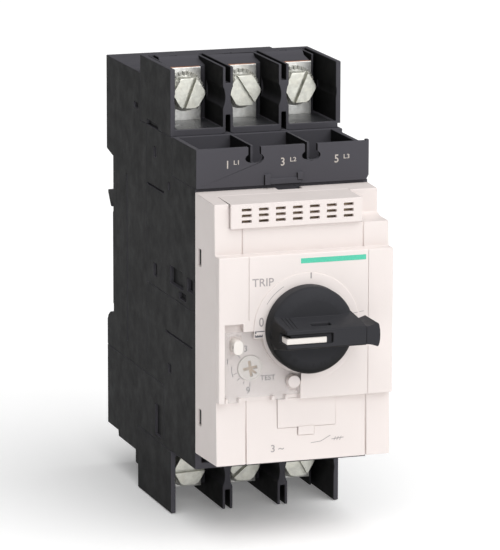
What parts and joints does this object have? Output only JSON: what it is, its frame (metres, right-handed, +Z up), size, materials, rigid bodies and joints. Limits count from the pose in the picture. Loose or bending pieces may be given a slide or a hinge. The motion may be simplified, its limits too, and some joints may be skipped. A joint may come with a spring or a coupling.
{
  "type": "motor protection breaker",
  "caption": "Motor protection circuit breaker with a rotary lockable handle, current dial and test button, for a 35 mm rail.",
  "frame": {"origin": "middle of the seat face that rests on the mounting rail, on the rail centre line", "axes": "+X across the poles, +Y towards the wall behind the rail, +Z up"},
  "size_m": [0.055, 0.1326, 0.1392],
  "materials": {
    "black_moulding": "fine-grained glass-filled moulding, satin",
    "knob_black": "satin moulding, polished by fingers at its edges",
    "cream_moulding": "fine spark-eroded grain, warm off-white",
    "clear_plastic": "clear polycarbonate with fine scratches",
    "white_plastic": "smooth satin",
    "plated_steel": "zinc or nickel plate, dulled",
    "tinned_bar": "tinned copper, rolled, bare at the cut edge",
    "copper": "bare copper, slightly tarnished",
    "brass": "rolled strip",
    "silver_tip": "silver contact alloy",
    "fibre_board": "pressed fibre board"
  },
  "bodies": {
    "root": {"rear_base": "black_moulding", "load_base": "black_moulding", "contact_case": "black_moulding", "trip_case": "black_moulding", "line_terminal_shroud": "black_moulding", "load_terminal_shroud": "black_moulding", "label_box": "black_moulding", "front_cover": "cream_moulding", "control_fascia": "cream_moulding", "aux_slot_cover": "cream_moulding", "marker_plate": "cream_moulding", "seal_post": "white_plastic", "test_spring": "plated_steel", "rail_clip_spring": "plated_steel", "line_terminal_screws": "plated_steel", "line_spring_washers": "plated_steel", "line_flat_washers": "plated_steel", "line_clamp_nuts": "plated_steel", "line_conductors": "tinned_bar", "load_terminal_screws": "plated_steel", "load_spring_washers": "plated_steel", "load_flat_washers": "plated_steel", "load_clamp_nuts": "plated_steel", "load_conductors": "tinned_bar", "fixed_contact_tips": "silver_tip", "arc_chute_plates": "plated_steel", "arc_chute_frames": "fibre_board", "coil_leads": "copper", "magnetic_coils": "copper", "magnetic_yokes": "plated_steel", "plunger_springs": "plated_steel", "bimetals": "brass", "heater_straps": "copper", "mechanism_frame": "plated_steel", "main_spring": "plated_steel", "case_screws": "plated_steel"},
    "handle": {"rotary_handle": "knob_black", "handle_pointer": "white_plastic", "handle_shaft": "plated_steel", "toggle_crank": "plated_steel"},
    "tongue": {"padlock_tongue": "knob_black"},
    "dial": {"current_dial": "white_plastic", "dial_cam": "brass"},
    "window": {"dial_window": "clear_plastic"},
    "test": {"test_button": "cream_moulding", "test_lever": "plated_steel"},
    "clip": {"rail_clip": "black_moulding"},
    "carrier": {"contact_carrier": "white_plastic", "contact_bridges": "copper", "moving_contact_tips": "silver_tip", "contact_springs": "plated_steel"},
    "rocker": {"toggle_link": "plated_steel"},
    "trip_bar": {"trip_bar": "white_plastic"},
    "latch": {"trip_latch": "plated_steel"},
    "plungers": {"plungers": "plated_steel"}
  },
  "joints": [
    {"name": "handle_turn", "type": "hinge", "parent": "root", "child": "handle", "pos_m": [0, -0.1101, -0.0016], "axis": [0, 1, 0], "range_deg": [0, 90]},
    {"name": "tongue_slide", "type": "slide", "parent": "handle", "child": "tongue", "axis": [1, 0, 0], "range_m": [0, 0.0065]},
    {"name": "dial_turn", "type": "hinge", "parent": "root", "child": "dial", "pos_m": [-0.017, -0.1063, -0.0135], "axis": [0, 1, 0], "range_deg": [-110, 110]},
    {"name": "window_open", "type": "hinge", "parent": "root", "child": "window", "pos_m": [-0.01555, -0.10865, -0.0229], "axis": [1, 0, 0], "range_deg": [0, 125]},
    {"name": "test_press", "type": "slide", "parent": "root", "child": "test", "axis": [0, 1, 0], "range_m": [0, 0.002], "stiffness_N_per_m": 300, "springref_m": -0.001, "deforming": ["test_spring"]},
    {"name": "clip_slide", "type": "slide", "parent": "root", "child": "clip", "axis": [0, 0, -1], "range_m": [0, 0.004], "stiffness_N_per_m": 800, "springref_m": -0.001, "deforming": ["rail_clip_spring"]},
    {"name": "carrier_slide", "type": "slide", "parent": "root", "child": "carrier", "axis": [0, 1, 0], "range_m": [0, 0.0059]},
    {"name": "rocker_turn", "type": "hinge", "parent": "root", "child": "rocker", "pos_m": [0, -0.0575, 0.004], "axis": [-1, 0, 0], "range_deg": [0, 24]},
    {"name": "trip_bar_turn", "type": "hinge", "parent": "root", "child": "trip_bar", "pos_m": [0, -0.0695, -0.014], "axis": [-1, 0, 0], "range_deg": [0, 18]},
    {"name": "latch_turn", "type": "hinge", "parent": "root", "child": "latch", "pos_m": [0.0066, -0.0685, 0.008], "axis": [-1, 0, 0], "range_deg": [0, 5]},
    {"name": "plunger_slide", "type": "slide", "parent": "root", "child": "plungers", "axis": [0, -1, 0], "range_m": [0, 0.002], "stiffness_N_per_m": 300, "springref_m": -0.001, "deforming": ["plunger_springs"]}
  ],
  "couplings": [
    {"joint": "carrier_slide", "follows": "handle_turn", "m_per_rad": 0.0037557},
    {"joint": "rocker_turn", "follows": "handle_turn", "ratio": 0.26664},
    {"joint": "trip_bar_turn", "follows": "test_press", "rad_per_m": 157.06},
    {"joint": "latch_turn", "follows": "test_press", "rad_per_m": 43.629}
  ]
}
